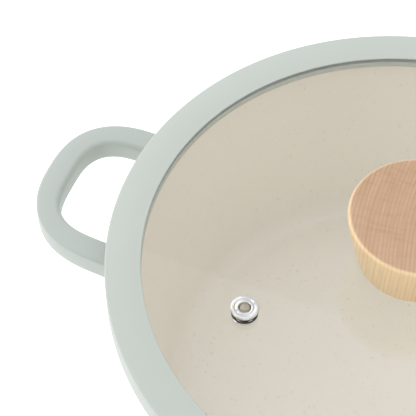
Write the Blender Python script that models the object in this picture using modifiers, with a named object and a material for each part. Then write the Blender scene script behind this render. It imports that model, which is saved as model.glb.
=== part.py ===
"""Two-handled cast pot with a flat glass lid, a silicone lid ring and a turned wooden knob.

Metres, +Z up. The origin is the middle of the base, on the table, and the handles lie along X.
The lid's own heights are measured from its seat, just above the pot's rim.
"""
import math

import bmesh
import bpy
from mathutils import Matrix

GAP = 0.0003  # clearance that touching pieces keep

# Pot: one cavity curve, from which the lining and the casting are offset
POT_TOP = 0.0933
FLOOR_HEIGHT = 0.0047
FLOOR_RADIUS = 0.0900
FOOT_RADIUS = 0.1003
MOUTH_RADIUS = 0.1145
FOOT_LEAN = math.radians(15.6)
LINING = 0.0004
RIM_CHAMFER = 0.0008

# Steel disc let into the base for induction hobs
PLATE_RADIUS = 0.0830
PLATE_THICKNESS = 0.0012

# Loop handles
HANDLE_TOP = 0.0795  # at its root, from where it rises outward
HANDLE_ROOT = 0.1130
HANDLE_RISE = 0.096
HANDLE_THICKNESS = 0.0113
HANDLE_START = 0.1280
HANDLE_OUTER = (0.0380, 0.0375, 2.47)  # reach, half width and power of the superellipse
HANDLE_INNER = (0.0271, 0.0258, 3.18)
HANDLE_BURIED = 0.1050
HANDLE_FLARE = 0.0012
HANDLE_ROUNDING = 0.0024

# Lid ring and glass
LID_SEAT = POT_TOP + GAP
RING_RADIUS = 0.1256
RING_HEIGHT = 0.0078
RING_EDGE = 0.0010
LIP_RADIUS = 0.1108
SKIRT_RADIUS = MOUTH_RADIUS + FLOOR_HEIGHT + 0.0006
SKIRT_DROP = 0.0047
GLASS_RADIUS = 0.1200
GLASS_THICKNESS = 0.0040
GLASS_BOTTOM = 0.0028
GLASS_TOP = GLASS_BOTTOM + GLASS_THICKNESS
GLASS_CHAMFER = 0.0005
SCREW_HOLE = 0.0032

# Steam vent, near the lid's edge
VENT_DISTANCE = 0.0734
VENT_ANGLE = math.radians(221.9)
VENT_HOLE = 0.0042
VENT_BORE = 0.00245
VENT_BARREL = 0.0038
VENT_FLANGE = 0.0057
VENT_RISE = 0.0020
VENT_GASKET = 0.0006
VENT_WASHER = 0.0054

# Knob and its fastening, stacked above and below the glass
KNOB_TOP_RADIUS = 0.0288
KNOB_BASE_RADIUS = 0.0235
KNOB_TOP = 0.0356
KNOB_EDGE = 0.0018
KNOB_BORE = 0.0048
KNOB_BORE_DEPTH = 0.0150
GASKET_THICKNESS = 0.0010
KNOB_GASKET_RADIUS = 0.0130
LID_GASKET_RADIUS = 0.0110
WASHER_RADIUS = 0.0095
WASHER_THICKNESS = 0.0009
LOCK_WASHER_RADIUS = 0.0046
LOCK_WASHER_THICKNESS = 0.0010
LOCK_WASHER_SPLIT = 0.0012
SCREW_RADIUS = 0.0022
SCREW_HEAD_RADIUS = 0.0048
SCREW_HEAD_HEIGHT = 0.0030
SCREW_SOCKET_RADIUS = 0.0016
SCREW_SOCKET_DEPTH = 0.0015
INSERT_RADIUS = KNOB_BORE - GAP

LARGE_STEPS = 60
KNOB_STEPS = 48
SMALL_STEPS = 24


# ---------------------------------------------------------------- scene, materials and placing

def clear_scene():
    for item in list(bpy.data.objects):
        bpy.data.objects.remove(item, do_unlink=True)


def new_collection(name):
    collection = bpy.data.collections.new(name)
    bpy.context.scene.collection.children.link(collection)
    return collection


def new_material(name, colour, roughness, metallic=0.0, transmission=0.0):
    material = bpy.data.materials.new(name)
    material.use_nodes = True
    shader = material.node_tree.nodes["Principled BSDF"]
    shader.inputs["Base Color"].default_value = (*colour, 1.0)
    shader.inputs["Roughness"].default_value = roughness
    shader.inputs["Metallic"].default_value = metallic
    shader.inputs["Transmission Weight"].default_value = transmission
    return material


def new_empty(name, collection, height):
    empty = bpy.data.objects.new(name, None)
    empty.location.z = height
    empty.empty_display_size = 0.02
    collection.objects.link(empty)
    return empty


def as_cutter(item):
    item.hide_render = True
    item.display_type = "WIRE"


# ---------------------------------------------------------------- shapes

def turned(name, collection, outline, steps, closed):
    """A turned piece: the outline's (radius, height) points spun about Z.

    The outline runs down the piece's outer side. A closed one is a ring, an open one starts and
    ends on the axis.
    """
    mesh = bpy.data.meshes.new(name)
    points = [(radius, 0.0, height) for radius, height in outline]
    edges = [(i, i + 1) for i in range(len(points) - 1)]
    if closed:
        edges.append((len(points) - 1, 0))
    mesh.from_pydata(points, edges, [])
    item = bpy.data.objects.new(name, mesh)
    collection.objects.link(item)
    screw = item.modifiers.new("Turn", "SCREW")
    screw.steps = steps
    screw.render_steps = steps
    screw.use_merge_vertices = True
    screw.merge_threshold = 0.00001
    screw.use_smooth_shade = True
    return item


def ring_outline(inner, outer, bottom, top):
    return [(outer, top), (outer, bottom), (inner, bottom), (inner, top)]


def disc_outline(radius, bottom, top):
    return [(0.0, top), (radius, top), (radius, bottom), (0.0, bottom)]


def arc(centre, radius, start, end, steps):
    """Points on an arc about centre, between two angles in degrees, both ends included."""
    angles = [math.radians(start + (end - start) * i / steps) for i in range(steps + 1)]
    return [(centre[0] + radius * math.cos(a), centre[1] + radius * math.sin(a)) for a in angles]


def cut(item, cutter):
    modifier = item.modifiers.new("Cut " + cutter.name, "BOOLEAN")
    modifier.operation = "DIFFERENCE"
    modifier.solver = "EXACT"
    modifier.object = cutter


def cavity_outline(offset, fillet_steps=3, wall_steps=5):
    """The cavity's section from the edge of its flat floor up to the rim, moved outward by offset.

    A fillet leads from the floor into a wall that leans out and straightens towards the rim.
    """
    fillet = (FOOT_RADIUS - FLOOR_RADIUS) / math.cos(FOOT_LEAN)
    start = FLOOR_HEIGHT + fillet * (1 - math.sin(FOOT_LEAN))
    span = POT_TOP - start
    flare = MOUTH_RADIUS - FOOT_RADIUS
    power = math.tan(FOOT_LEAN) * span / flare
    centre = (FLOOR_RADIUS, FLOOR_HEIGHT + fillet)
    points = arc(centre, fillet + offset, -90, -math.degrees(FOOT_LEAN), fillet_steps)
    for i in range(1, wall_steps + 1):
        t = i / wall_steps
        lean = math.atan(flare * power * (1 - t) ** (power - 1) / span)
        radius = MOUTH_RADIUS - flare * (1 - t) ** power
        height = start + span * t
        points.append((radius + offset * math.cos(lean), height - offset * math.sin(lean)))
    return points


# ---------------------------------------------------------------- pot

def build_pot_body(collection):
    inside = cavity_outline(LINING + GAP)
    outside = cavity_outline(FLOOR_HEIGHT)
    inner_rim = inside.pop()[0]
    outer_rim = outside.pop()[0]
    rim = [(inner_rim, POT_TOP - RIM_CHAMFER), (inner_rim + RIM_CHAMFER, POT_TOP),
           (outer_rim - RIM_CHAMFER, POT_TOP), (outer_rim, POT_TOP - RIM_CHAMFER)]
    recess_radius = PLATE_RADIUS + GAP
    recess_roof = PLATE_THICKNESS + GAP
    base = [(recess_radius, 0.0), (recess_radius, recess_roof), (0.0, recess_roof)]
    floor = [(0.0, FLOOR_HEIGHT - LINING - GAP)]
    outline = floor + inside + rim + outside[::-1] + base
    return turned("pot_body", collection, outline, LARGE_STEPS, closed=False)


def build_lining(collection):
    inside = cavity_outline(0.0)
    outside = cavity_outline(LINING)
    edge = POT_TOP - GAP
    inside[-1] = (inside[-1][0], edge)
    outside[-1] = (outside[-1][0], edge)
    outline = [(0.0, FLOOR_HEIGHT)] + inside + outside[::-1] + [(0.0, FLOOR_HEIGHT - LINING)]
    return turned("interior_coating", collection, outline, LARGE_STEPS, closed=False)


def build_induction_plate(collection):
    outline = disc_outline(PLATE_RADIUS, 0.0, PLATE_THICKNESS)
    return turned("induction_plate", collection, outline, LARGE_STEPS, closed=False)


def loop_side(size, steps):
    """Half turn of a loop's edge as a superellipse, from its -Y side round to its +Y side."""
    depth, half_width, power = size
    points = []
    for i in range(steps + 1):
        angle = math.pi * (i / steps - 0.5)
        x = HANDLE_START + depth * max(math.cos(angle), 0.0) ** (2 / power)
        side = math.copysign(abs(math.sin(angle)) ** (2 / power), angle)
        points.append((x, half_width * side))
    return points


def handle_outline():
    outer = loop_side(HANDLE_OUTER, 24)
    inner = loop_side(HANDLE_INNER, 20)
    root = [(HANDLE_BURIED, HANDLE_OUTER[1] + HANDLE_FLARE), (HANDLE_BURIED, HANDLE_INNER[1])]
    mirrored = [(x, -y) for x, y in reversed(root)]
    return outer + root + inner[::-1] + mirrored


def build_handle(name, collection, wall_cutter, turn):
    """A loop with rounded edges that rises outward, trimmed where it meets the pot's wall."""
    curve = bpy.data.curves.new(name, "CURVE")
    curve.dimensions = "2D"
    curve.fill_mode = "BOTH"
    curve.extrude = HANDLE_THICKNESS / 2 - HANDLE_ROUNDING
    curve.bevel_depth = HANDLE_ROUNDING
    curve.bevel_resolution = 1
    curve.offset = -HANDLE_ROUNDING
    spline = curve.splines.new("POLY")
    outline = handle_outline()
    spline.points.add(len(outline) - 1)
    for point, (x, y) in zip(spline.points, outline):
        point.co = (x, y, 0.0, 1.0)
    spline.use_cyclic_u = True
    drawn = bpy.data.objects.new(name + "_outline", curve)
    collection.objects.link(drawn)
    mesh = bpy.data.meshes.new_from_object(drawn.evaluated_get(bpy.context.evaluated_depsgraph_get()))
    bpy.data.objects.remove(drawn, do_unlink=True)
    weld_and_tilt(mesh)
    item = bpy.data.objects.new(name, mesh)
    item.location.z = HANDLE_TOP - HANDLE_THICKNESS / 2
    item.rotation_euler.z = turn
    collection.objects.link(item)
    cut(item, wall_cutter)
    return item


def weld_and_tilt(mesh):
    shell = bmesh.new()
    shell.from_mesh(mesh)
    bmesh.ops.remove_doubles(shell, verts=shell.verts, dist=0.00001)
    for vertex in shell.verts:
        vertex.co.z += HANDLE_RISE * (vertex.co.x - HANDLE_ROOT)
    bmesh.ops.recalc_face_normals(shell, faces=shell.faces)
    shell.to_mesh(mesh)
    shell.free()


def build_wall_cutter(cutters):
    """The pot's outer shape, a gap larger, which trims the handles' roots."""
    outside = cavity_outline(FLOOR_HEIGHT + GAP)
    top = POT_TOP + 0.01
    outline = [(0.0, top), (outside[-1][0], top)] + outside[::-1] + [(0.0, outside[0][1])]
    cutter = turned("wall_cutter", cutters, outline, LARGE_STEPS, closed=False)
    as_cutter(cutter)
    return cutter


# ---------------------------------------------------------------- lid

def build_ring(collection):
    """The silicone ring: it grips the glass in a groove, rests on the rim and hangs a skirt round it."""
    groove = (GLASS_BOTTOM - GAP, GLASS_TOP + GAP)
    groove_radius = GLASS_RADIUS + GAP
    corner = arc((RING_RADIUS - RING_EDGE, RING_HEIGHT - RING_EDGE), RING_EDGE, 90, 0, 3)
    skirt = [(RING_RADIUS, -SKIRT_DROP + 0.0010), (RING_RADIUS - 0.0010, -SKIRT_DROP),
             (SKIRT_RADIUS + 0.0006, -SKIRT_DROP), (SKIRT_RADIUS, -SKIRT_DROP + 0.0006)]
    seat = [(SKIRT_RADIUS, 0.0), (LIP_RADIUS + 0.0006, 0.0), (LIP_RADIUS, 0.0006)]
    slot = [(LIP_RADIUS, groove[0]), (groove_radius, groove[0]), (groove_radius, groove[1]),
            (LIP_RADIUS, groove[1])]
    lip = [(LIP_RADIUS, RING_HEIGHT - 0.0003), (LIP_RADIUS + 0.0004, RING_HEIGHT)]
    return turned("silicone_rim", collection, corner + skirt + seat + slot + lip, LARGE_STEPS, closed=True)


def build_glass(collection, cutters):
    edge = [(GLASS_RADIUS - GLASS_CHAMFER, GLASS_TOP), (GLASS_RADIUS, GLASS_TOP - GLASS_CHAMFER),
            (GLASS_RADIUS, GLASS_BOTTOM + GLASS_CHAMFER), (GLASS_RADIUS - GLASS_CHAMFER, GLASS_BOTTOM)]
    outline = edge + [(SCREW_HOLE, GLASS_BOTTOM), (SCREW_HOLE, GLASS_TOP)]
    glass = turned("lid_glass", collection, outline, LARGE_STEPS, closed=True)
    hole = disc_outline(VENT_HOLE, GLASS_BOTTOM - 0.002, GLASS_TOP + 0.002)
    cutter = turned("vent_cutter", cutters, hole, SMALL_STEPS, closed=False)
    cutter.location = vent_place()
    as_cutter(cutter)
    cut(glass, cutter)
    return glass, cutter


def vent_place():
    return (VENT_DISTANCE * math.cos(VENT_ANGLE), VENT_DISTANCE * math.sin(VENT_ANGLE), 0.0)


def build_vent(collection):
    """A metal eyelet through the glass, with a gasket under its flange and a washer beneath."""
    gasket = (GLASS_TOP + GAP, GLASS_TOP + GAP + VENT_GASKET)
    flange = (gasket[1] + GAP, GLASS_TOP + VENT_RISE)
    washer = (GLASS_BOTTOM - GAP - 0.0008, GLASS_BOTTOM - GAP)
    roll = (washer[0] - GAP - 0.0007, washer[0] - GAP)
    rings = [(VENT_BORE, flange[1] - 0.0006), (VENT_BORE + 0.0005, flange[1] - 0.0002),
             (VENT_BORE + 0.0012, flange[1] - 0.0004), (VENT_BORE + 0.0018, flange[1]),
             (VENT_FLANGE - 0.0007, flange[1]), (VENT_FLANGE, flange[1] - 0.0005)]
    barrel = [(VENT_FLANGE, flange[0]), (VENT_BARREL, flange[0]), (VENT_BARREL, roll[1]),
              (VENT_BARREL + 0.0012, roll[1]), (VENT_BARREL + 0.0012, roll[0]), (VENT_BORE, roll[0])]
    eyelet = turned("vent_eyelet", collection, rings + barrel, SMALL_STEPS, closed=True)
    under_flange = ring_outline(VENT_BARREL + GAP, VENT_FLANGE - 0.0003, *gasket)
    seal = turned("vent_gasket", collection, under_flange, SMALL_STEPS, closed=True)
    backing = turned("vent_washer", collection, ring_outline(VENT_BARREL + GAP, VENT_WASHER, *washer),
                     SMALL_STEPS, closed=True)
    for item in (eyelet, seal, backing):
        item.location = vent_place()
    return eyelet, seal, backing


def knob_base_height():
    return GLASS_TOP + 2 * GAP + GASKET_THICKNESS


def build_knob(collection):
    """A wooden disc, wider at the top, with a blind bore for its threaded insert."""
    base = knob_base_height()
    top_edge = arc((KNOB_TOP_RADIUS - KNOB_EDGE, KNOB_TOP - KNOB_EDGE), KNOB_EDGE, 90, 0, 3)
    base_edge = arc((KNOB_BASE_RADIUS - KNOB_EDGE, base + KNOB_EDGE), KNOB_EDGE, -10, -90, 3)
    bore = [(KNOB_BORE, base), (KNOB_BORE, base + KNOB_BORE_DEPTH), (0.0, base + KNOB_BORE_DEPTH)]
    outline = [(0.0, KNOB_TOP)] + top_edge + base_edge + bore
    return turned("knob", collection, outline, KNOB_STEPS, closed=False)


def build_fastening(collection, cutters):
    """The insert in the knob and, below the glass, gasket, washer, split lock washer and screw."""
    base = knob_base_height()
    gasket_top = GLASS_BOTTOM - GAP
    washer_top = gasket_top - GASKET_THICKNESS - GAP
    lock_top = washer_top - WASHER_THICKNESS - GAP
    head_top = lock_top - LOCK_WASHER_THICKNESS - GAP
    bore = SCREW_RADIUS + GAP
    pieces = {
        "knob_gasket": ring_outline(SCREW_HOLE, KNOB_GASKET_RADIUS, GLASS_TOP + GAP, base - GAP),
        "lid_gasket": ring_outline(SCREW_HOLE, LID_GASKET_RADIUS, gasket_top - GASKET_THICKNESS, gasket_top),
        "knob_washer": ring_outline(bore, WASHER_RADIUS, washer_top - WASHER_THICKNESS, washer_top),
        "lock_washer": ring_outline(bore, LOCK_WASHER_RADIUS, lock_top - LOCK_WASHER_THICKNESS, lock_top),
        "knob_insert": ring_outline(bore, INSERT_RADIUS, base + GAP, base + KNOB_BORE_DEPTH - GAP),
    }
    made = {name: turned(name, collection, outline, SMALL_STEPS, closed=True)
            for name, outline in pieces.items()}
    head_bottom = head_top - SCREW_HEAD_HEIGHT
    shank_top = base + KNOB_BORE_DEPTH - 0.002
    screw_outline = [(0.0, shank_top), (SCREW_RADIUS, shank_top), (SCREW_RADIUS, head_top),
                     (SCREW_HEAD_RADIUS, head_top), (SCREW_HEAD_RADIUS, head_bottom + 0.001),
                     (SCREW_HEAD_RADIUS - 0.0015, head_bottom), (0.0, head_bottom)]
    made["knob_screw"] = turned("knob_screw", collection, screw_outline, SMALL_STEPS, closed=False)
    socket = build_socket_cutter(cutters, head_bottom)
    split = build_split_cutter(cutters, lock_top)
    cut(made["knob_screw"], socket)
    cut(made["lock_washer"], split)
    return made, (socket, split)


def build_socket_cutter(cutters, height):
    mesh = bpy.data.meshes.new("socket_cutter")
    solid = bmesh.new()
    bmesh.ops.create_cone(solid, cap_ends=True, segments=6, radius1=SCREW_SOCKET_RADIUS,
                          radius2=SCREW_SOCKET_RADIUS, depth=2 * SCREW_SOCKET_DEPTH)
    solid.to_mesh(mesh)
    solid.free()
    cutter = bpy.data.objects.new("socket_cutter", mesh)
    cutter.location.z = height
    cutters.objects.link(cutter)
    as_cutter(cutter)
    return cutter


def build_split_cutter(cutters, height):
    """A thin slab, set askew, that opens the lock washer's split."""
    mesh = bpy.data.meshes.new("split_cutter")
    solid = bmesh.new()
    bmesh.ops.create_cube(solid, size=1.0)
    size = Matrix.Diagonal((LOCK_WASHER_RADIUS, LOCK_WASHER_SPLIT, 4 * LOCK_WASHER_THICKNESS, 1.0))
    bmesh.ops.transform(solid, matrix=size, verts=solid.verts)
    solid.to_mesh(mesh)
    solid.free()
    cutter = bpy.data.objects.new("split_cutter", mesh)
    cutter.location = (0.8 * LOCK_WASHER_RADIUS, 0.0, height - LOCK_WASHER_THICKNESS / 2)
    cutter.rotation_euler.x = math.radians(20)
    cutters.objects.link(cutter)
    as_cutter(cutter)
    return cutter


# ---------------------------------------------------------------- assembly

def finish(items, material, parent):
    for item in items:
        item.data.materials.append(material)
        item.parent = parent


def build_pot(collection, cutters):
    frame = new_empty("pot_frame", collection, 0.0)
    sage = new_material("sage_enamel", (0.50, 0.55, 0.50), 0.45)
    cream = new_material("cream_ceramic", (0.74, 0.69, 0.58), 0.30)
    steel = new_material("base_steel", (0.60, 0.60, 0.59), 0.32, metallic=1.0)
    wall_cutter = build_wall_cutter(cutters)
    handles = [build_handle("handle_right", collection, wall_cutter, 0.0),
               build_handle("handle_left", collection, wall_cutter, math.pi)]
    finish([build_pot_body(collection)] + handles, sage, frame)
    finish([build_lining(collection)], cream, frame)
    finish([build_induction_plate(collection)], steel, frame)


def build_lid(collection, cutters):
    seat = new_empty("lid_seat", collection, LID_SEAT)
    turn = new_empty("lid_turn_axis", collection, 0.0)
    turn.parent = seat
    silicone = new_material("sage_silicone", (0.52, 0.58, 0.52), 0.55)
    clear = new_material("clear_glass", (0.96, 0.98, 0.97), 0.02, transmission=1.0)
    wood = new_material("turned_wood", (0.62, 0.40, 0.25), 0.50)
    steel = new_material("bright_steel", (0.75, 0.75, 0.74), 0.18, metallic=1.0)
    brass = new_material("insert_brass", (0.72, 0.55, 0.28), 0.30, metallic=1.0)
    rubber = new_material("seal_silicone", (0.80, 0.80, 0.77), 0.60)
    dark_rubber = new_material("charcoal_silicone", (0.05, 0.05, 0.045), 0.60)
    finish([build_ring(collection)], silicone, seat)
    glass, vent_cutter = build_glass(collection, cutters)
    finish([glass], clear, turn)
    finish([build_knob(collection)], wood, turn)
    eyelet, vent_gasket, vent_washer = build_vent(collection)
    fastening, fastening_cutters = build_fastening(collection, cutters)
    seals = [fastening["knob_gasket"], fastening["lid_gasket"]]
    metal = [fastening[name] for name in ("knob_washer", "lock_washer", "knob_screw")]
    finish([eyelet, vent_washer] + metal, steel, turn)
    finish(seals, rubber, turn)
    finish([vent_gasket], dark_rubber, turn)
    finish([fastening["knob_insert"]], brass, turn)
    for cutter in (vent_cutter, *fastening_cutters):
        cutter.parent = turn


def main():
    clear_scene()
    parts = new_collection("lidded_pot")
    cutters = new_collection("cutters")
    build_pot(parts, cutters)
    build_lid(parts, cutters)


main()
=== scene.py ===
"""Looks of the two-handled pot: coated casting, silicone, glass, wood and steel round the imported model."""
import math

import bmesh
import bpy
from mathutils import Matrix, Vector


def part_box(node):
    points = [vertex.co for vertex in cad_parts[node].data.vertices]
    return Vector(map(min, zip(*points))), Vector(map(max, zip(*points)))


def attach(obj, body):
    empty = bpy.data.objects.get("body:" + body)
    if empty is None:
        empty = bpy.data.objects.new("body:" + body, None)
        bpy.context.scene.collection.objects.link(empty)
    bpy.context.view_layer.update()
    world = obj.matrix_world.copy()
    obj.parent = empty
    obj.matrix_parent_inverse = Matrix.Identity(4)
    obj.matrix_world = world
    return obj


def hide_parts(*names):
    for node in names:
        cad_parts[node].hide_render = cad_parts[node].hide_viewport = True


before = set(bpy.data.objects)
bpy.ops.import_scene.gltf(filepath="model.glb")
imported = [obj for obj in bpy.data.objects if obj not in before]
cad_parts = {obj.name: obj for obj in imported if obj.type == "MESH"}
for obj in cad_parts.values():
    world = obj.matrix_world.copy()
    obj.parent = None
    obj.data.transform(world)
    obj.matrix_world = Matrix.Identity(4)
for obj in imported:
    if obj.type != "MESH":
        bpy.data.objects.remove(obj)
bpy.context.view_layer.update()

MM = 0.001
STEPS = 192
KNOB_STEPS = 128
VENT_STEPS = 96
SMALL_STEPS = 64
LOOSE = 0.05 * MM

# Pot: the cavity's curve, measured from the casting's and the lining's boxes
POT_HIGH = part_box("pot_body")[1]
LINING_LOW, LINING_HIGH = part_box("interior_coating")
POT_TOP = POT_HIGH.z
LINING = 0.4 * MM
BOND = LOOSE
FLOOR_HEIGHT = LINING_LOW.z + LINING
MOUTH_RADIUS = LINING_HIGH.x - LINING
FOOT_RADIUS = 100.3 * MM
FLOOR_RADIUS = 90.0 * MM
FOOT_LEAN = math.radians(15.6)
RIM_ROUNDING = 1.5 * MM
LINING_EDGE = 1.6 * MM

# Handles: the loop's outer and inner edge as (reach, half width, power) of a superellipse
HANDLE_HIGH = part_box("handle_right")[1]
HANDLE_START = 128.0 * MM
HANDLE_OUTER = (HANDLE_HIGH.x - HANDLE_START, 37.5 * MM, 2.47)
HANDLE_INNER = (27.1 * MM, 25.8 * MM, 3.18)
HANDLE_THICKNESS = 11.3 * MM
HANDLE_TOP = 79.5 * MM
HANDLE_ROOT = 113.0 * MM
HANDLE_RISE = 0.096
HANDLE_FILLET = 4.0 * MM
HANDLE_BURIED = 1.5 * MM

# Lid: the silicone ring and the pane, then the vent's eyelet and the hole for the knob's screw
RING_LOW, RING_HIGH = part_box("silicone_rim")
GLASS_LOW, GLASS_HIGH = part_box("lid_glass")
RING_RADIUS = RING_HIGH.x
RING_SEAT = POT_TOP + 0.3 * MM
RING_CROWN = 0.5 * MM
RING_EDGE = 0.9 * MM
LIP_RADIUS = 110.8 * MM
SKIRT_RADIUS = POT_HIGH.x + 0.6 * MM
LIP_ROUNDING = 0.45 * MM
GLASS_RADIUS = GLASS_HIGH.x
GLASS_ROUNDING = 0.8 * MM
HOLE_EASE = 0.3 * MM
SCREW_HOLE = 3.2 * MM
VENT_HOLE = 4.2 * MM
VENT_BORE = 2.45 * MM
VENT_BARREL = 3.8 * MM
VENT_ROUNDING = 0.55 * MM

# Camera, placed round the middle of the lid's top
LID_CENTRE = Vector((0.0, 0.0, RING_HIGH.z))
CAMERA_AZIMUTH = math.radians(8.0)
CAMERA_ELEVATION = math.radians(53.62)
CAMERA_DISTANCE = 0.5746
CAMERA_AIM = Vector((-0.0868, -0.0080, RING_HIGH.z))
CAMERA_ROLL = math.radians(-0.313)
CAMERA_LENS = 121.15

# Knob: beech cut across the grain, from beside a pith well outside the knob
KNOB_BASE_RADIUS = 23.5 * MM
KNOB_EDGE = 1.8 * MM
KNOB_DISH = 0.25 * MM
KNOB_BELLY = 0.35 * MM
PITH = (0.157, 0.014)
RING_SPACING = 1.6 * MM

# Studio: softboxes as (name, place, what they face, size in metres, watts)
WORLD_COLOUR = (0.99, 1.0, 1.02, 1.0)
WORLD_STRENGTH = 0.80
FLOOR_GLOW = 0.4
DISC_PLACE = (-0.103, 0.451, 1.2)
DISC_RADIUS = 0.26
DISC_POWER = 0.8
DISC_COLOUR = (0.80, 1.0, 1.28)
LIGHTS = [
    ("overhead", (0.0, 0.05, 1.2), (0.0, 0.05, 0.0), (1.7, 1.25), 1.8),
    ("front_left", (-1.0, -0.8, 0.75), (0.0, 0.0, 0.05), (0.6, 0.5), 1.8),
    ("left", (-0.7, 0.25, 0.45), (-0.05, 0.0, 0.08), (0.5, 0.5), 1.3),
    ("back_left", (-0.75, 0.75, 0.8), (-0.05, 0.0, 0.08), (0.6, 0.6), 1.6),
    ("front_right", (0.6, -1.2, 0.5), (0.0, 0.0, 0.05), (0.9, 0.6), 1.3),
]


# ---------------------------------------------------------------- node graphs

def srgb(red, green, blue):
    """A colour given as 0 to 255 display values, as linear values."""
    linear = []
    for value in (red, green, blue):
        share = value / 255
        linear.append(share / 12.92 if share <= 0.04045 else ((share + 0.055) / 1.055) ** 2.4)
    return (*linear, 1.0)


class Graph:
    """A material with short calls for the nodes that feed its Principled shader."""

    def __init__(self, name, sockets):
        self.material = bpy.data.materials.new(name)
        self.material.use_nodes = True
        self.tree = self.material.node_tree
        self.shader = self.tree.nodes["Principled BSDF"]
        for socket, value in sockets.items():
            self.shader.inputs[socket].default_value = value
        self.place = self.tree.nodes.new("ShaderNodeTexCoord").outputs["Object"]

    def link(self, source, target):
        self.tree.links.new(source, target)

    def feed(self, socket, source):
        self.link(source, self.shader.inputs[socket])

    def moved(self, location):
        node = self.tree.nodes.new("ShaderNodeMapping")
        node.inputs["Location"].default_value = location
        self.link(self.place, node.inputs["Vector"])
        return node.outputs["Vector"]

    def noise(self, scale, detail=2.0, roughness=0.5, vector=None):
        node = self.tree.nodes.new("ShaderNodeTexNoise")
        node.inputs["Scale"].default_value = scale
        node.inputs["Detail"].default_value = detail
        node.inputs["Roughness"].default_value = roughness
        self.link(vector or self.place, node.inputs["Vector"])
        return node.outputs["Fac"]

    def ramp(self, source, stops):
        node = self.tree.nodes.new("ShaderNodeValToRGB")
        elements = node.color_ramp.elements
        while len(elements) < len(stops):
            elements.new(0.5)
        for element, (position, colour) in zip(elements, stops):
            element.position = position
            element.color = colour
        self.link(source, node.inputs["Fac"])
        return node.outputs["Color"]

    def span(self, source, low, high, start=0.0, end=1.0):
        node = self.tree.nodes.new("ShaderNodeMapRange")
        values = {"From Min": start, "From Max": end, "To Min": low, "To Max": high}
        for socket, value in values.items():
            node.inputs[socket].default_value = value
        self.link(source, node.inputs["Value"])
        return node.outputs["Result"]

    def maths(self, operation, first, second=None):
        node = self.tree.nodes.new("ShaderNodeMath")
        node.operation = operation
        for socket, value in zip(node.inputs, (first, second)):
            if isinstance(value, (int, float)):
                socket.default_value = value
            elif value is not None:
                self.link(value, socket)
        return node.outputs["Value"]

    def mix(self, share, first, second, blend="MIX"):
        node = self.tree.nodes.new("ShaderNodeMix")
        node.data_type = "RGBA"
        node.blend_type = blend
        sockets = [item for item in node.inputs if item.type == "RGBA"]
        factor = next(item for item in node.inputs if item.name == "Factor" and item.type == "VALUE")
        for socket, value in ((factor, share), (sockets[0], first), (sockets[1], second)):
            if isinstance(value, (int, float, tuple)):
                socket.default_value = value
            else:
                self.link(value, socket)
        return next(item for item in node.outputs if item.type == "RGBA")

    def bump(self, height, distance, strength=1.0, normal=None):
        node = self.tree.nodes.new("ShaderNodeBump")
        node.inputs["Strength"].default_value = strength
        node.inputs["Distance"].default_value = distance
        self.link(height, node.inputs["Height"])
        if normal is not None:
            self.link(normal, node.inputs["Normal"])
        return node.outputs["Normal"]

    def combined(self, *parts):
        node = self.tree.nodes.new("ShaderNodeCombineXYZ")
        for part, socket in zip(parts, node.inputs):
            self.link(part, socket)
        return node.outputs["Vector"]

    def polar(self, centre):
        """Distance from the vertical axis through centre, length round it at the origin, and height."""
        node = self.tree.nodes.new("ShaderNodeSeparateXYZ")
        self.link(self.moved((-centre[0], -centre[1], 0)), node.inputs["Vector"])
        x, y, height = node.outputs
        squares = self.maths("ADD", self.maths("MULTIPLY", x, x), self.maths("MULTIPLY", y, y))
        radius = self.maths("SQRT", squares)
        around = self.maths("MULTIPLY", self.maths("ARCTAN2", y, x), math.hypot(*centre))
        return radius, around, height

    def stretched_noise(self, radius, around, height, scales, detail=2.0):
        parts = [self.maths("MULTIPLY", part, scale) for part, scale in zip((radius, around, height), scales)]
        return self.noise(1.0, detail=detail, vector=self.combined(*parts))

    def turning_marks(self, centre, scale, detail=4, roughness=0.7):
        """Fine rings of tool marks about the vertical axis through centre."""
        radius = self.polar(centre)[0]
        marks = self.maths("MULTIPLY", radius, scale)
        return self.noise(1.0, detail, roughness, self.combined(marks))


# ---------------------------------------------------------------- materials

def coated_casting():
    """Satin sprayed coating: faint orange peel, fine flecks and slightly uneven gloss."""
    graph = Graph("sage_coating", {"Roughness": 0.42, "Specular IOR Level": 0.45, "Coat Weight": 0.15,
                                   "Coat Roughness": 0.35})
    cloud = graph.noise(9, detail=3)
    fleck = graph.noise(900, detail=1)
    base = graph.ramp(cloud, [(0.3, srgb(182, 188, 181)), (0.7, srgb(184, 190, 183))])
    shade = graph.ramp(fleck, [(0.34, (0.90, 0.90, 0.90, 1)), (0.42, (1, 1, 1, 1))])
    graph.feed("Base Color", graph.mix(0.15, base, shade, "MULTIPLY"))
    graph.feed("Roughness", graph.span(graph.noise(55, detail=4), 0.38, 0.50))
    peel = graph.bump(graph.noise(420, detail=2), 0.03 * MM, 0.6)
    graph.feed("Normal", graph.bump(graph.noise(1800, detail=1), 0.012 * MM, 0.5, peel))
    return graph.material


def silicone():
    """Matt moulded silicone with a soft bloom."""
    graph = Graph("sage_silicone", {"Roughness": 0.55, "Specular IOR Level": 0.35, "Sheen Weight": 0.12,
                                    "Sheen Roughness": 0.5, "Subsurface Weight": 0.06,
                                    "Subsurface Scale": 0.0015,
                                    "Subsurface Radius": (1.0, 1.0, 0.9)})
    cloud = graph.noise(14, detail=4)
    base = graph.ramp(cloud, [(0.3, srgb(189, 195, 187)), (0.7, srgb(192, 198, 190))])
    dust = graph.ramp(graph.noise(1500, detail=1), [(0.70, (0, 0, 0, 1)), (0.78, (0.35, 0.35, 0.35, 1))])
    graph.feed("Base Color", graph.mix(0.25, base, dust, "SCREEN"))
    graph.feed("Roughness", graph.span(graph.noise(40, detail=5), 0.48, 0.62))
    graph.feed("Normal", graph.bump(graph.noise(2400, detail=2), 0.012 * MM, 0.55))
    return graph.material


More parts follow.
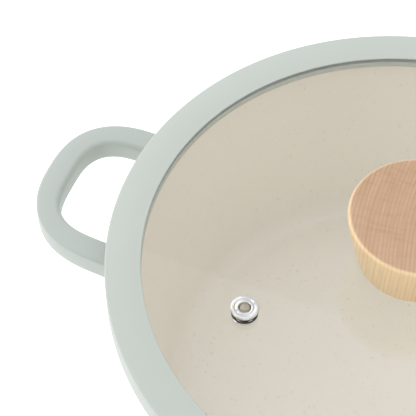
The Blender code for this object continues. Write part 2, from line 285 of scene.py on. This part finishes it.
def ceramic():
    """Smooth cream non-stick lining: a little mottled, with a few fine mineral flecks."""
    graph = Graph("cream_ceramic", {"Specular IOR Level": 0.5, "Coat Weight": 0.25, "Coat Roughness": 0.18})
    base = graph.ramp(graph.noise(11, detail=4), [(0.3, srgb(240, 235, 222)), (0.7, srgb(242, 237, 225))])
    fleck = graph.ramp(graph.noise(700, detail=1), [(0.26, (0.80, 0.77, 0.70, 1)), (0.31, (1, 1, 1, 1))])
    graph.feed("Base Color", graph.mix(0.7, base, fleck, "MULTIPLY"))
    graph.feed("Roughness", graph.span(graph.noise(70, detail=3), 0.26, 0.36))
    graph.feed("Normal", graph.bump(graph.noise(260, detail=2), 0.02 * MM, 0.5))
    return graph.material


def clear_glass():
    """Clear tempered glass, hazed a little by handling. Light from lamps goes straight through."""
    graph = Graph("clear_glass", {"Base Color": (0.992, 0.99, 0.985, 1), "IOR": 1.5,
                                  "Transmission Weight": 1.0})
    graph.feed("Roughness", graph.span(graph.noise(28, detail=5), 0.0, 0.012, 0.35, 0.75))
    nodes = graph.tree.nodes
    clear = nodes.new("ShaderNodeBsdfTransparent")
    clear.inputs["Color"].default_value = (0.99, 0.985, 0.98, 1)
    path = nodes.new("ShaderNodeLightPath")
    blend = nodes.new("ShaderNodeMixShader")
    graph.link(graph.maths("MAXIMUM", path.outputs["Is Shadow Ray"], path.outputs["Is Diffuse Ray"]),
               blend.inputs[0])
    graph.link(graph.shader.outputs["BSDF"], blend.inputs[1])
    graph.link(clear.outputs["BSDF"], blend.inputs[2])
    graph.link(blend.outputs["Shader"], nodes["Material Output"].inputs["Surface"])
    return graph.material


def beech():
    """Beech with its grain upright: growth rings and rays on the sawn top, long grain on the side. The side
    is painted paler and yellower than the top: partly the long grain's own tone, partly painted light for a
    side lit more brightly than the top.
    """
    graph = Graph("oiled_beech", {"Specular IOR Level": 0.45, "Coat Weight": 0.35, "Coat Roughness": 0.16})
    radius, around, height = graph.polar(PITH)
    wave = graph.tree.nodes.new("ShaderNodeTexWave")
    wave.bands_direction = "X"
    values = {"Scale": 2 * math.pi / (20 * RING_SPACING), "Distortion": 2.4, "Detail": 2.0,
              "Detail Scale": 0.7}
    for socket, value in values.items():
        wave.inputs[socket].default_value = value
    across = graph.maths("MULTIPLY", around, 0.12)
    along = graph.maths("MULTIPLY", height, 0.1)
    graph.link(graph.combined(radius, across, along), wave.inputs["Vector"])
    rings = graph.span(wave.outputs["Fac"], 0.0, 1.0, 0.62, 1.0)
    lines = graph.stretched_noise(radius, around, height, (1150, 60, 25))
    lines = graph.span(lines, 0.0, 1.0, 0.40, 0.66)
    rays = graph.stretched_noise(radius, around, height, (110, 720, 260))
    rays = graph.span(rays, 0.0, 1.0, 0.52, 0.72)
    broad = graph.stretched_noise(radius, around, height, (140, 26, 12))
    top = graph.ramp(broad, [(0.35, srgb(194, 157, 123)), (0.65, srgb(201, 165, 132))])
    top = graph.mix(graph.maths("MULTIPLY", rings, 0.36), top, srgb(166, 122, 88))
    top = graph.mix(graph.maths("MULTIPLY", lines, 0.26), top, srgb(172, 128, 96))
    top = graph.mix(graph.maths("MULTIPLY", rays, 0.26), top, srgb(174, 132, 100))
    # Side colours: the long grain's tone, made paler and yellower with painted light, as if the upright side
    # were lit more brightly than the top.
    side = graph.ramp(broad, [(0.35, srgb(243, 209, 162)), (0.65, srgb(247, 218, 173))])
    side = graph.mix(graph.maths("MULTIPLY", rings, 0.25), side, srgb(208, 168, 116))
    side = graph.mix(graph.maths("MULTIPLY", lines, 0.18), side, srgb(206, 164, 112))
    flecks = graph.span(graph.stretched_noise(radius, around, height, (900, 900, 220)), 0.0, 0.5, 0.60, 0.74)
    side = graph.mix(graph.maths("MULTIPLY", flecks, 0.4), side, srgb(186, 146, 102))
    normal = graph.tree.nodes.new("ShaderNodeSeparateXYZ")
    graph.link(graph.tree.nodes.new("ShaderNodeTexCoord").outputs["Normal"], normal.inputs["Vector"])
    # Colour by facing: faces turned up take the top's colours and upright faces take the paler side colours,
    # so the side carries painted light.
    graph.feed("Base Color", graph.mix(graph.span(normal.outputs["Z"], 0.0, 1.0, 0.72, 0.97), side, top))
    graph.feed("Roughness", graph.span(lines, 0.40, 0.52))
    graph.feed("Normal", graph.bump(graph.maths("ADD", lines, rays), 0.03 * MM, 0.35))
    return graph.material


def polished_steel(name="polished_steel", roughness=0.10, centre=(0, 0)):
    """Turned and polished stainless: fine rings of tool marks about the piece's own axis."""
    graph = Graph(name, {"Base Color": srgb(222, 222, 220), "Metallic": 1.0})
    rings = graph.turning_marks(centre, 5200)
    graph.feed("Roughness", graph.span(rings, roughness * 0.7, roughness * 1.8, 0.3, 0.7))
    graph.feed("Normal", graph.bump(rings, 0.004 * MM, 0.5))
    return graph.material


def base_steel():
    """The base disc: brushed in circles, a little heat-tinted."""
    graph = Graph("base_steel", {"Metallic": 1.0})
    rings = graph.turning_marks((0, 0), 2600, detail=6, roughness=0.8)
    tint = graph.ramp(graph.noise(16, detail=3), [(0.3, srgb(196, 195, 192)), (0.7, srgb(208, 206, 202))])
    graph.feed("Base Color", tint)
    graph.feed("Roughness", graph.span(rings, 0.22, 0.42, 0.3, 0.7))
    graph.feed("Normal", graph.bump(rings, 0.02 * MM, 0.6))
    return graph.material


def brass():
    graph = Graph("turned_brass", {"Metallic": 1.0})
    tint = graph.ramp(graph.noise(300, detail=3), [(0.3, srgb(202, 166, 92)), (0.7, srgb(216, 184, 112))])
    graph.feed("Base Color", tint)
    graph.feed("Roughness", graph.span(graph.noise(900), 0.22, 0.38))
    return graph.material


def seal(name, dark, light, roughness):
    """Moulded seal rubber between two shades."""
    graph = Graph(name, {"Specular IOR Level": 0.4})
    graph.feed("Base Color", graph.ramp(graph.noise(180, detail=3), [(0.3, dark), (0.7, light)]))
    graph.feed("Roughness", graph.span(graph.noise(600, detail=2), roughness - 0.06, roughness + 0.06))
    graph.feed("Normal", graph.bump(graph.noise(2200, detail=1), 0.01 * MM, 0.5))
    return graph.material


def studio_floor():
    graph = Graph("pale_floor", {"Roughness": 0.8, "Specular IOR Level": 0.1,
                                 "Emission Color": (1, 1, 1, 1), "Emission Strength": FLOOR_GLOW})
    tone = graph.ramp(graph.noise(2.5, detail=3), [(0.3, srgb(243, 243, 243)), (0.7, srgb(246, 246, 246))])
    graph.feed("Base Color", tone)
    return graph.material


# ---------------------------------------------------------------- shapes

def arc(centre, radius, start, end, steps):
    """Points on an arc about centre, between two angles in degrees, both ends included."""
    angles = [math.radians(start + (end - start) * i / steps) for i in range(steps + 1)]
    return [(centre[0] + radius * math.cos(a), centre[1] + radius * math.sin(a)) for a in angles]


def add_object(name, mesh, material, sharp=35):
    for face in mesh.polygons:
        face.use_smooth = True
    mesh.set_sharp_from_angle(angle=math.radians(sharp))
    mesh.materials.append(material)
    item = bpy.data.objects.new(name, mesh)
    bpy.context.scene.collection.objects.link(item)
    return item


def mesh_of(name, shell):
    """The finished shell as a mesh; the shell is freed."""
    mesh = bpy.data.meshes.new(name)
    shell.to_mesh(mesh)
    shell.free()
    return mesh


def turned(name, outline, material, steps=STEPS, closed=True, centre=(0.0, 0.0), sharp=35):
    """A piece turned about the vertical line through centre. Its outline runs down the outer side."""
    shell = bmesh.new()
    points = [shell.verts.new((radius, 0.0, height)) for radius, height in outline]
    edges = [shell.edges.new(pair) for pair in zip(points, points[1:])]
    if closed:
        edges.append(shell.edges.new((points[-1], points[0])))
    bmesh.ops.spin(shell, geom=points + edges, cent=(0, 0, 0), axis=(0, 0, 1), angle=2 * math.pi,
                   steps=steps, use_merge=True)
    bmesh.ops.remove_doubles(shell, verts=shell.verts, dist=0.002 * MM)
    bmesh.ops.recalc_face_normals(shell, faces=shell.faces)
    bmesh.ops.translate(shell, verts=shell.verts, vec=(*centre, 0.0))
    return add_object(name, mesh_of(name, shell), material, sharp)


def apply_cut(item, cutter):
    """Cuts item by cutter, keeps the result in its mesh and removes the cutter."""
    modifier = item.modifiers.new("Cut", "BOOLEAN")
    modifier.operation = "DIFFERENCE"
    modifier.object = cutter
    view = bpy.context.evaluated_depsgraph_get()
    cut = bpy.data.meshes.new_from_object(item.evaluated_get(view))
    item.modifiers.clear()
    item.data = cut
    bpy.data.objects.remove(cutter, do_unlink=True)


def stand_for(item, body, slot, *nodes):
    """Rides a piece on its body and hides the CAD nodes it stands for. The slot is not used."""
    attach(item, body)
    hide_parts(*nodes)
    return item


def cavity_outline(offset, fillet_steps=12, wall_steps=24):
    """The cavity's section from the edge of its flat floor up to the rim, moved outward by offset."""
    fillet = (FOOT_RADIUS - FLOOR_RADIUS) / math.cos(FOOT_LEAN)
    start = FLOOR_HEIGHT + fillet * (1 - math.sin(FOOT_LEAN))
    span = POT_TOP - start
    flare = MOUTH_RADIUS - FOOT_RADIUS
    power = math.tan(FOOT_LEAN) * span / flare
    centre = (FLOOR_RADIUS, FLOOR_HEIGHT + fillet)
    points = arc(centre, fillet + offset, -90, -math.degrees(FOOT_LEAN), fillet_steps)
    for i in range(1, wall_steps + 1):
        t = i / wall_steps
        lean = math.atan(flare * power * (1 - t) ** (power - 1) / span)
        radius = MOUTH_RADIUS - flare * (1 - t) ** power
        height = start + span * t
        points.append((radius + offset * math.cos(lean), height - offset * math.sin(lean)))
    return points


def wall_radius(height):
    """The casting's outer radius at a height, read off its outline."""
    outline = cavity_outline(FLOOR_HEIGHT)
    for (low_radius, low), (high_radius, high) in zip(outline, outline[1:]):
        if low <= height <= high:
            return low_radius + (high_radius - low_radius) * (height - low) / (high - low)
    return outline[-1][0]


# ---------------------------------------------------------------- pot

def make_casting(material):
    inside = [point for point in cavity_outline(LINING + BOND) if point[1] < POT_TOP - RIM_ROUNDING]
    outside = [point for point in cavity_outline(FLOOR_HEIGHT) if point[1] < POT_TOP - RIM_ROUNDING]
    inner = MOUTH_RADIUS + LINING + BOND
    outer = MOUTH_RADIUS + FLOOR_HEIGHT
    rim = arc((inner + RIM_ROUNDING, POT_TOP - RIM_ROUNDING), RIM_ROUNDING, 180, 90, 6)
    rim += arc((outer - RIM_ROUNDING, POT_TOP - RIM_ROUNDING), RIM_ROUNDING, 90, 0, 6)
    plate_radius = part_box("induction_plate")[1].x
    plate_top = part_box("induction_plate")[1].z
    recess = plate_radius + 0.15 * MM
    foot = [(plate_radius + 4.2 * MM, 0.0), (plate_radius + 3.8 * MM, 0.25 * MM),
            (plate_radius + 3.0 * MM, 0.25 * MM), (plate_radius + 2.6 * MM, 0.0)]
    base = [(recess + 0.3 * MM, 0.0), (recess, 0.3 * MM), (recess, plate_top + BOND), (0.0, plate_top + BOND)]
    floor = [(0.0, FLOOR_HEIGHT - LINING - BOND)]
    outline = floor + inside + rim + outside[::-1] + foot + base
    casting = turned("pot_casting", outline, material, closed=False)
    stand_for(casting, "pot", "sage_enamel", "pot_body")


def make_lining(material):
    top = POT_TOP - LINING_EDGE
    inside = [point for point in cavity_outline(0.0) if point[1] < top - LINING]
    outside = [point for point in cavity_outline(LINING) if point[1] < top - LINING]
    edge = arc((inside[-1][0] + LINING, top - LINING), LINING, 180, 90, 4) + [(outside[-1][0], top)]
    outline = [(0.0, FLOOR_HEIGHT)] + inside + edge + outside[::-1] + [(0.0, FLOOR_HEIGHT - LINING)]
    lining = turned("ceramic_lining", outline, material, closed=False)
    stand_for(lining, "pot", "cream_ceramic", "interior_coating")


def make_base_disc(material):
    """The steel disc, with turned rings and a shallow centre mark on its underside."""
    low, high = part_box("induction_plate")
    radius = high.x
    outline = [(0.0, high.z), (radius, high.z), (radius, 0.2 * MM), (radius - 0.2 * MM, low.z)]
    for ring in range(6):
        groove = radius * (0.92 - 0.14 * ring)
        outline += [(groove + 0.6 * MM, low.z), (groove + 0.3 * MM, 0.15 * MM),
                    (groove - 0.3 * MM, 0.15 * MM), (groove - 0.6 * MM, low.z)]
    outline += [(4.0 * MM, low.z), (3.0 * MM, 0.4 * MM), (0.0, 0.4 * MM)]
    disc = turned("base_disc", outline, material, closed=False)
    stand_for(disc, "pot", "base_steel", "induction_plate")


def loop_point(size, angle):
    reach, half_width, power = size
    x = HANDLE_START + reach * max(math.cos(angle), 0.0) ** (2 / power)
    return Vector((x, half_width * math.copysign(abs(math.sin(angle)) ** (2 / power), angle)))


def bar_section(width, thickness):
    """The handle's section as (across, up) points: crisp at its outer top edge, softer elsewhere."""
    corners = [((width, thickness / 2), 1.1, 0), ((0.0, thickness / 2), 2.4, 90),
               ((0.0, -thickness / 2), 2.8, 180), ((width, -thickness / 2), 2.4, 270)]
    points = []
    for (across, up), size, start in corners:
        radius = size * MM
        centre = (across - math.copysign(radius, across - width / 2), up - math.copysign(radius, up))
        points += arc(centre, radius, start, start + 90, 5)
    return points


def handle_ring(outer, inner, grow=0.0):
    """One ring of vertices round the bar, between its outer and inner edge."""
    across = outer - inner
    width = across.length
    across.normalize()
    middle = HANDLE_TOP - HANDLE_THICKNESS / 2
    stretch = (width + 2 * grow) / width
    lift = (HANDLE_THICKNESS + 2 * grow) / HANDLE_THICKNESS
    ring = []
    for a, up in bar_section(width, HANDLE_THICKNESS):
        flat = inner + across * ((a - width / 2) * stretch + width / 2)
        rise = HANDLE_RISE * (flat.x - HANDLE_ROOT)
        ring.append(Vector((flat.x, flat.y, middle + rise + up * lift)))
    return ring


def root_rings(sign):
    """Rings from where the arm straightens to inside the wall, spreading in a cast fillet."""
    outer = Vector((HANDLE_START, sign * HANDLE_OUTER[1]))
    inner = Vector((HANDLE_START, sign * HANDLE_INNER[1]))
    clear = [(1 - t) * 11 * MM + t * HANDLE_FILLET for t in (0.25, 0.5, 0.75)]
    bend = [math.radians(15 * i) for i in range(7)]
    steps = [(depth, 0.0) for depth in clear]
    steps += [(HANDLE_FILLET * (1 - math.sin(a)), HANDLE_FILLET * (1 - math.cos(a))) for a in bend]
    steps.append((-HANDLE_BURIED, HANDLE_FILLET))
    rings = []
    for depth, grow in steps:
        ring = handle_ring(outer, inner, grow)
        for point in ring:
            wall = math.sqrt(wall_radius(min(point.z, POT_TOP - 2 * MM)) ** 2 - point.y ** 2)
            point.z += HANDLE_RISE * (wall + depth - point.x)
            point.x = wall + depth
        rings.append(ring)
    return rings


def make_handle(name, node, turn, material):
    """A cast loop whose two arms spread into the wall of the pot."""
    stations = 56
    angles = [math.pi * (i / stations - 0.5) for i in range(stations + 1)]
    loop = [handle_ring(loop_point(HANDLE_OUTER, a), loop_point(HANDLE_INNER, a)) for a in angles]
    rings = root_rings(-1)[::-1] + loop + root_rings(1)
    shell = bmesh.new()
    rows = [[shell.verts.new(point) for point in ring] for ring in rings]
    count = len(rows[0])
    for row, following in zip(rows, rows[1:]):
        for i in range(count):
            j = (i + 1) % count
            shell.faces.new((row[i], row[j], following[j], following[i]))
    shell.faces.new(rows[0][::-1])
    shell.faces.new(rows[-1])
    bmesh.ops.recalc_face_normals(shell, faces=shell.faces)
    bmesh.ops.rotate(shell, verts=shell.verts, cent=(0, 0, 0), matrix=Matrix.Rotation(turn, 3, "Z"))
    handle = add_object(name, mesh_of(name, shell), material, sharp=60)
    stand_for(handle, "pot", "sage_enamel", node)


# ---------------------------------------------------------------- lid

def make_ring(material):
    """The silicone ring: a low crown, slim lips over and under the glass and a skirt round the rim."""
    top = RING_HIGH.z
    low = RING_LOW.z
    middle = (RING_RADIUS + LIP_RADIUS) / 2
    half = (RING_RADIUS - LIP_RADIUS) / 2
    crown = []
    for i in range(11):
        radius = LIP_RADIUS + 0.6 * MM + (2 * half - 0.6 * MM - RING_EDGE) * i / 10
        crown.append((radius, top - RING_CROWN * ((radius - middle) / half) ** 2))
    drop = top - crown[-1][1]
    corner = arc((RING_RADIUS - RING_EDGE, top - drop - RING_EDGE), RING_EDGE, 80, 0, 6)
    skirt = arc((RING_RADIUS - 1.2 * MM, low + 1.2 * MM), 1.2 * MM, 0, -90, 5)
    skirt += arc((SKIRT_RADIUS + 0.8 * MM, low + 0.8 * MM), 0.8 * MM, -90, -180, 4)
    seat = arc((SKIRT_RADIUS - 0.5 * MM, RING_SEAT - 0.5 * MM), 0.5 * MM, 0, 90, 3)
    seat += arc((LIP_RADIUS + 0.7 * MM, RING_SEAT + 0.7 * MM), 0.7 * MM, -90, -180, 4)
    slot = [(LIP_RADIUS, GLASS_LOW.z - 0.45 * MM), (LIP_RADIUS + 0.4 * MM, GLASS_LOW.z - LOOSE),
            (GLASS_RADIUS + LOOSE, GLASS_LOW.z - LOOSE), (GLASS_RADIUS + LOOSE, GLASS_HIGH.z + LOOSE),
            (LIP_RADIUS + 0.1 * MM, GLASS_HIGH.z + LOOSE), (LIP_RADIUS, GLASS_HIGH.z + 0.15 * MM)]
    lip = arc((LIP_RADIUS + LIP_ROUNDING, crown[0][1] - LIP_ROUNDING), LIP_ROUNDING, 180, 100, 4)
    ring = turned("silicone_ring", crown + corner + skirt + seat + slot + lip, material)
    stand_for(ring, "lid_ring", "sage_silicone", "silicone_rim")


def vent_centre():
    low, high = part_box("vent_eyelet")
    return ((low.x + high.x) / 2, (low.y + high.y) / 2)


def pane_edge(shell, centre, profile, steps):
    """Rows of vertices along a profile, joined into the wall of a round edge or hole."""
    rows = []
    for radius, height in profile:
        turns = [2 * math.pi * i / steps for i in range(steps)]
        rows.append([shell.verts.new((centre[0] + radius * math.cos(a),
                                      centre[1] + radius * math.sin(a), height)) for a in turns])
    for row, following in zip(rows, rows[1:]):
        for i in range(steps):
            j = (i + 1) % steps
            shell.faces.new((row[i], row[j], following[j], following[i]))


def make_glass(material):
    """The pane, with ground edges and holes for the knob's screw and the vent."""
    low = GLASS_LOW.z
    high = GLASS_HIGH.z
    inset = GLASS_RADIUS - GLASS_ROUNDING
    shell = bmesh.new()
    rim = arc((inset, high - GLASS_ROUNDING), GLASS_ROUNDING, 90, 0, 5)
    rim += arc((inset, low + GLASS_ROUNDING), GLASS_ROUNDING, 0, -90, 5)
    pane_edge(shell, (0.0, 0.0), rim, STEPS)
    for centre, hole in (((0.0, 0.0), SCREW_HOLE), (vent_centre(), VENT_HOLE)):
        wall = [(hole + HOLE_EASE, high), (hole, high - HOLE_EASE), (hole, low + HOLE_EASE),
                (hole + HOLE_EASE, low)]
        pane_edge(shell, centre, wall, SMALL_STEPS)
    for height in (high, low):
        edges = [edge for edge in shell.edges
                 if edge.is_boundary and all(abs(vert.co.z - height) < 0.01 * MM for vert in edge.verts)]
        bmesh.ops.triangle_fill(shell, edges=edges, use_beauty=True)
    bmesh.ops.recalc_face_normals(shell, faces=shell.faces)
    pane = add_object("glass_pane", mesh_of("glass_pane", shell), material, sharp=4)
    stand_for(pane, "lid", "lid_glass", "lid_glass")


def make_knob(material):
    """A turned disc: softly eased edges, a hardly noticeable dish on top and its insert's bore below."""
    low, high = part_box("knob")
    radius = high.x
    insert_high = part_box("knob_insert")[1]
    dish = [(radius * i / 8, high.z - KNOB_DISH * (1 - (i / 8) ** 2)) for i in range(8)]
    top_edge = arc((radius - KNOB_EDGE, high.z - KNOB_EDGE), KNOB_EDGE, 90, -8, 10)
    base_edge = arc((KNOB_BASE_RADIUS - KNOB_EDGE, low.z + KNOB_EDGE), KNOB_EDGE, -12, -90, 8)
    (top_x, top_z), (base_x, base_z) = top_edge[-1], base_edge[0]
    side = []
    for i in range(1, 8):
        t = i / 8
        belly = KNOB_BELLY * math.sin(math.pi * t)
        side.append((top_x + (base_x - top_x) * t + belly, top_z + (base_z - top_z) * t))
    bore = insert_high.x + 0.1 * MM
    roof = insert_high.z + 0.2 * MM
    hole = [(bore + 0.5 * MM, low.z), (bore, low.z + 0.5 * MM), (bore, roof), (0.0, roof)]
    outline = dish + top_edge + side + base_edge + hole
    knob = turned("wooden_knob", outline, material, KNOB_STEPS, closed=False)
    stand_for(knob, "lid", "knob_wood", "knob")


def chamfered_ring(inner, outer, low, high, chamfer):
    """The section of a flat ring with all four edges broken."""
    return [(outer - chamfer, high), (outer, high - chamfer), (outer, low + chamfer),
            (outer - chamfer, low), (inner + chamfer, low), (inner, low + chamfer),
            (inner, high - chamfer), (inner + chamfer, high)]


def make_vent(steel, rubber):
    """A spun eyelet with stepped rings round its bore, on a seal, with a washer below the glass."""
    low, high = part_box("vent_eyelet")
    seal_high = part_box("vent_gasket")[1]
    washer_low, washer_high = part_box("vent_washer")
    centre = vent_centre()
    flange = (high.x - low.x) / 2
    inner = VENT_BARREL + 0.1 * MM
    skirt = seal_high.z + LOOSE
    shoulder = high.z - VENT_ROUNDING
    outline = arc((flange - VENT_ROUNDING, shoulder), VENT_ROUNDING, 90, 0, 5)
    outline += [(flange, skirt), (VENT_BARREL, skirt), (VENT_BARREL, washer_low.z - LOOSE)]
    outline += arc((VENT_BARREL + 0.8 * MM, washer_low.z - 0.4 * MM), 0.35 * MM, 90, -90, 6)
    outline += [(VENT_BORE + 0.4 * MM, low.z), (VENT_BORE, low.z + 0.4 * MM)]
    outline += arc((VENT_BORE + VENT_ROUNDING, shoulder), VENT_ROUNDING, 180, 60, 6)
    outline += arc((VENT_BORE + 1.45 * MM, high.z + LOOSE), 0.45 * MM, 215, 325, 6)
    outline += arc((VENT_BORE + 2.15 * MM, high.z - 0.30 * MM), 0.30 * MM, 130, 60, 4)
    eyelet = turned("eyelet", outline, steel, VENT_STEPS, centre=centre, sharp=50)
    stand_for(eyelet, "lid", "bright_steel", "vent_eyelet")
    outline = chamfered_ring(inner, flange - 0.1 * MM, GLASS_HIGH.z, seal_high.z, 0.15 * MM)
    ring = turned("eyelet_seal", outline, rubber, VENT_STEPS, centre=centre)
    stand_for(ring, "lid", "charcoal_silicone", "vent_gasket")
    outer = (washer_high.x - washer_low.x) / 2
    outline = chamfered_ring(inner, outer, washer_low.z, GLASS_LOW.z - LOOSE, 0.2 * MM)
    washer = turned("eyelet_washer", outline, steel, VENT_STEPS, centre=centre)
    stand_for(washer, "lid", "bright_steel", "vent_washer")


def make_fastening(steel, brass_metal, rubber):
    """Gaskets, washers, split washer, insert and socket screw, each in its CAD node's place."""
    pieces = [("gasket_above", "knob_gasket", rubber, "seal_silicone", 3.2, 0.25),
              ("gasket_below", "lid_gasket", rubber, "seal_silicone", 3.2, 0.25),
              ("flat_washer", "knob_washer", steel, "bright_steel", 2.6, 0.12),
              ("spring_washer", "lock_washer", steel, "bright_steel", 2.6, 0.10),
              ("brass_insert", "knob_insert", brass_metal, "insert_brass", 2.5, 0.30)]
    for name, node, material, slot, bore, chamfer in pieces:
        low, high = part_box(node)
        outline = chamfered_ring(bore * MM, high.y, low.z, high.z, chamfer * MM)
        piece = turned(name, outline, material, SMALL_STEPS)
        if node == "lock_washer":
            apply_cut(piece, split_cutter(low, high))
        stand_for(piece, "lid", slot, node)
    screw = turned("socket_screw", screw_outline(), steel, SMALL_STEPS, closed=False)
    apply_cut(screw, socket_cutter())
    stand_for(screw, "lid", "bright_steel", "knob_screw")


def screw_outline():
    """Shank and low head, with a thread's ridges as rings along the shank."""
    low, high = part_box("knob_screw")
    head_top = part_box("lock_washer")[0].z - 0.1 * MM
    shank = 2.2 * MM
    root = 1.85 * MM
    pitch = 0.8 * MM
    outline = [(0.0, high.z), (root - 0.4 * MM, high.z)]
    height = high.z - 0.4 * MM
    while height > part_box("knob_gasket")[1].z:
        outline += [(root, height), (shank, height - pitch / 2)]
        height -= pitch
    outline += [(shank, head_top)]
    outline += arc((high.y - 0.4 * MM, head_top - 0.4 * MM), 0.4 * MM, 90, 0, 4)
    outline += arc((high.y - 1.6 * MM, low.z + 1.6 * MM), 1.6 * MM, 0, -90, 6)
    return outline + [(0.0, low.z)]


def cutter_object(name, shell):
    item = bpy.data.objects.new(name, mesh_of(name, shell))
    bpy.context.scene.collection.objects.link(item)
    return item


def socket_cutter():
    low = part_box("knob_screw")[0]
    shell = bmesh.new()
    place = Matrix.Translation((0.0, 0.0, low.z))
    radius = 1.7 * MM
    bmesh.ops.create_cone(shell, cap_ends=True, segments=6, radius1=radius, radius2=radius,
                          depth=3.6 * MM, matrix=place)
    return cutter_object("socket_cutter", shell)


def split_cutter(low, high):
    """A thin askew slab through one side of the spring washer."""
    shell = bmesh.new()
    place = Matrix.Translation((0.8 * high.y, 0.0, (low.z + high.z) / 2)) @ Matrix.Rotation(0.35, 4, "X")
    size = Matrix.Diagonal((high.y, 1.0 * MM, 4 * MM, 1.0))
    bmesh.ops.create_cube(shell, size=1.0, matrix=place @ size)
    return cutter_object("split_cutter", shell)


# ---------------------------------------------------------------- studio

def make_floor():
    shell = bmesh.new()
    bmesh.ops.create_grid(shell, x_segments=8, y_segments=8, size=6.0)
    floor = add_object("floor", mesh_of("floor", shell), studio_floor())
    floor.location.z = -0.2 * MM


def place_light(data, place, target):
    light = bpy.data.objects.new(data.name, data)
    bpy.context.scene.collection.objects.link(light)
    light.location = place
    light.rotation_euler = (Vector(target) - Vector(place)).to_track_quat("-Z", "Y").to_euler()


def area_light(name, place, target, size, power):
    data = bpy.data.lights.new(name, "AREA")
    data.shape = "RECTANGLE"
    data.size, data.size_y = size
    data.energy = power
    place_light(data, place, target)


def soft_disc():
    """A round cool softbox that fades at its edge, seen mirrored in the near half of the glass."""
    data = bpy.data.lights.new("disc", "AREA")
    data.shape = "DISK"
    data.size = 2 * DISC_RADIUS
    data.energy = DISC_POWER
    data.color = DISC_COLOUR
    data.use_nodes = True
    nodes = data.node_tree.nodes
    links = data.node_tree.links
    place = nodes.new("ShaderNodeNewGeometry").outputs["Parametric"]
    offset = nodes.new("ShaderNodeVectorMath")
    offset.operation = "DISTANCE"
    offset.inputs[1].default_value = (0.5, 0.5, 0.0)
    links.new(place, offset.inputs[0])
    fade = nodes.new("ShaderNodeMapRange")
    fade.interpolation_type = "SMOOTHSTEP"
    for socket, value in {"From Min": 0.32, "From Max": 0.5, "To Min": 1.0, "To Max": 0.0}.items():
        fade.inputs[socket].default_value = value
    links.new(offset.outputs["Value"], fade.inputs["Value"])
    links.new(fade.outputs["Result"], nodes["Emission"].inputs["Strength"])
    place_light(data, DISC_PLACE, (DISC_PLACE[0], DISC_PLACE[1], 0.0))


def make_lights():
    world = bpy.data.worlds.new("studio")
    world.use_nodes = True
    background = world.node_tree.nodes["Background"]
    background.inputs["Color"].default_value = WORLD_COLOUR
    background.inputs["Strength"].default_value = WORLD_STRENGTH
    bpy.context.scene.world = world
    for name, place, target, size, power in LIGHTS:
        area_light(name, place, target, size, power)
    soft_disc()


def make_camera():
    data = bpy.data.cameras.new("camera")
    data.lens = CAMERA_LENS
    data.sensor_width = 36.0
    camera = bpy.data.objects.new("camera", data)
    bpy.context.scene.collection.objects.link(camera)
    level = math.cos(CAMERA_ELEVATION)
    back = Vector((math.sin(CAMERA_AZIMUTH) * level, -math.cos(CAMERA_AZIMUTH) * level,
                   math.sin(CAMERA_ELEVATION)))
    place = LID_CENTRE + back * CAMERA_DISTANCE
    look = (CAMERA_AIM - place).to_track_quat("-Z", "Y").to_matrix().to_4x4()
    camera.matrix_world = Matrix.Translation(place) @ look @ Matrix.Rotation(CAMERA_ROLL, 4, "Z")
    bpy.context.scene.camera = camera


def main():
    enamel = coated_casting()
    wood = beech()
    steel = polished_steel()
    pale_rubber = seal("pale_seal", srgb(206, 206, 200), srgb(216, 216, 210), 0.5)
    dark_rubber = seal("dark_seal", srgb(48, 47, 44), srgb(58, 57, 54), 0.45)
    make_casting(enamel)
    make_lining(ceramic())
    make_base_disc(base_steel())
    make_handle("handle_loop_right", "handle_right", 0.0, enamel)
    make_handle("handle_loop_left", "handle_left", math.pi, enamel)
    make_ring(silicone())
    make_glass(clear_glass())
    make_knob(wood)
    make_vent(polished_steel("eyelet_steel", 0.12, vent_centre()), dark_rubber)
    make_fastening(steel, brass(), pale_rubber)
    make_floor()
    make_lights()
    make_camera()
    bpy.context.scene.view_settings.view_transform = "Standard"


main()
